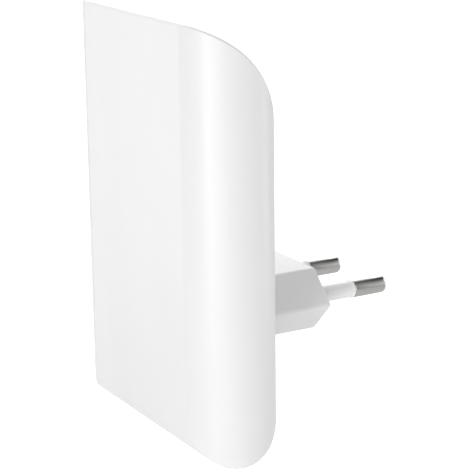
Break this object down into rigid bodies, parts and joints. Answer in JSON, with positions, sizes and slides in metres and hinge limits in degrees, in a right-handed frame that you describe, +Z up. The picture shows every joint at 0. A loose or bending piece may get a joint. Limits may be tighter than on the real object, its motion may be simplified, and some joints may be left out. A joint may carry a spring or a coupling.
{
  "type": "wifi range extender",
  "caption": "Plug-in wifi range extender: a tall white clamshell with round sides and a sloping top, a hexagonal two-pin plug moulding on its back, and a pairing button on its left side",
  "frame": {"origin": "centre of the plug's end face, between the pins", "axes": "+Y along the pins, away from the case; +Z up; +X to the right seen from the front"},
  "size_m": [0.0614, 0.057, 0.0912],
  "materials": {
    "white_shell": "fine satin",
    "white_shell_back": "fine satin",
    "plug_white": "fine satin",
    "label": "silver-grey film, blank",
    "screw_steel": "zinc",
    "pin_nickel": "nickel plate",
    "sleeve_grey": "satin",
    "contact_brass": "rolled",
    "insulation": "pressed board",
    "board_green": "solder mask",
    "fuse_body": "glazed",
    "copper_winding": "enamelled copper",
    "chip_black": "moulded epoxy",
    "capacitor_blue": "shrink sleeve",
    "capacitor_black": "shrink sleeve",
    "ferrite": "sintered",
    "winding_tape": "polyester tape",
    "disc_blue": "dipped epoxy",
    "shield_tin": "tin plate",
    "pad_grey": "soft",
    "spreader_aluminium": "extruded",
    "antenna_copper": "copper on board",
    "lead_grey": "coaxial jacket",
    "light_lens": "clear epoxy",
    "guide_clear": "clear moulding",
    "switch_black": "moulded",
    "plunger_tan": "moulded",
    "button_grey": "fine satin"
  },
  "bodies": {
    "case": {"front_cover": "white_shell", "rear_cover": "white_shell_back", "plug_body": "plug_white", "rating_label": "label", "case_screws": "screw_steel", "plug_screws": "screw_steel", "board_screws": "screw_steel", "live_pin": "pin_nickel", "neutral_pin": "pin_nickel", "live_sleeve": "sleeve_grey", "neutral_sleeve": "sleeve_grey", "live_contact": "contact_brass", "neutral_contact": "contact_brass", "insulation_sheet": "insulation", "power_board": "board_green", "radio_board": "board_green", "fuse": "fuse_body", "line_choke": "copper_winding", "bridge_rectifier": "chip_black", "switching_chip": "chip_black", "optocoupler": "chip_black", "processor_chip": "chip_black", "memory_chips": "chip_black", "board_header": "chip_black", "input_capacitors": "capacitor_blue", "output_capacitor": "capacitor_black", "transformer_core": "ferrite", "transformer_winding": "winding_tape", "noise_capacitor": "disc_blue", "rf_shield": "shield_tin", "crystal": "shield_tin", "thermal_pad": "pad_grey", "heat_spreader": "spreader_aluminium", "antenna_sockets": "contact_brass", "antenna_left": "antenna_copper", "antenna_right": "antenna_copper", "antenna_lead_left": "lead_grey", "antenna_lead_right": "lead_grey", "status_light": "light_lens", "light_guide": "guide_clear", "pairing_switch": "switch_black", "reset_switch": "switch_black"},
    "pairing_button": {"pairing_button": "button_grey"},
    "pairing_plunger": {"pairing_plunger": "plunger_tan"},
    "reset_plunger": {"reset_plunger": "plunger_tan"}
  },
  "joints": [
    {"name": "pairing_press", "type": "slide", "parent": "case", "child": "pairing_button", "axis": [1, 0, 0], "range_m": [0, 0.0005], "stiffness_N_per_m": 900, "springref_m": -0.0005},
    {"name": "pairing_plunger_travel", "type": "slide", "parent": "case", "child": "pairing_plunger", "axis": [1, 0, 0], "range_m": [0, 0.0005]},
    {"name": "reset_press", "type": "slide", "parent": "case", "child": "reset_plunger", "axis": [1, 0, 0], "range_m": [0, 0.0003], "stiffness_N_per_m": 900, "springref_m": -0.0005}
  ],
  "couplings": [
    {"joint": "pairing_plunger_travel", "follows": "pairing_press", "ratio": 1}
  ]
}
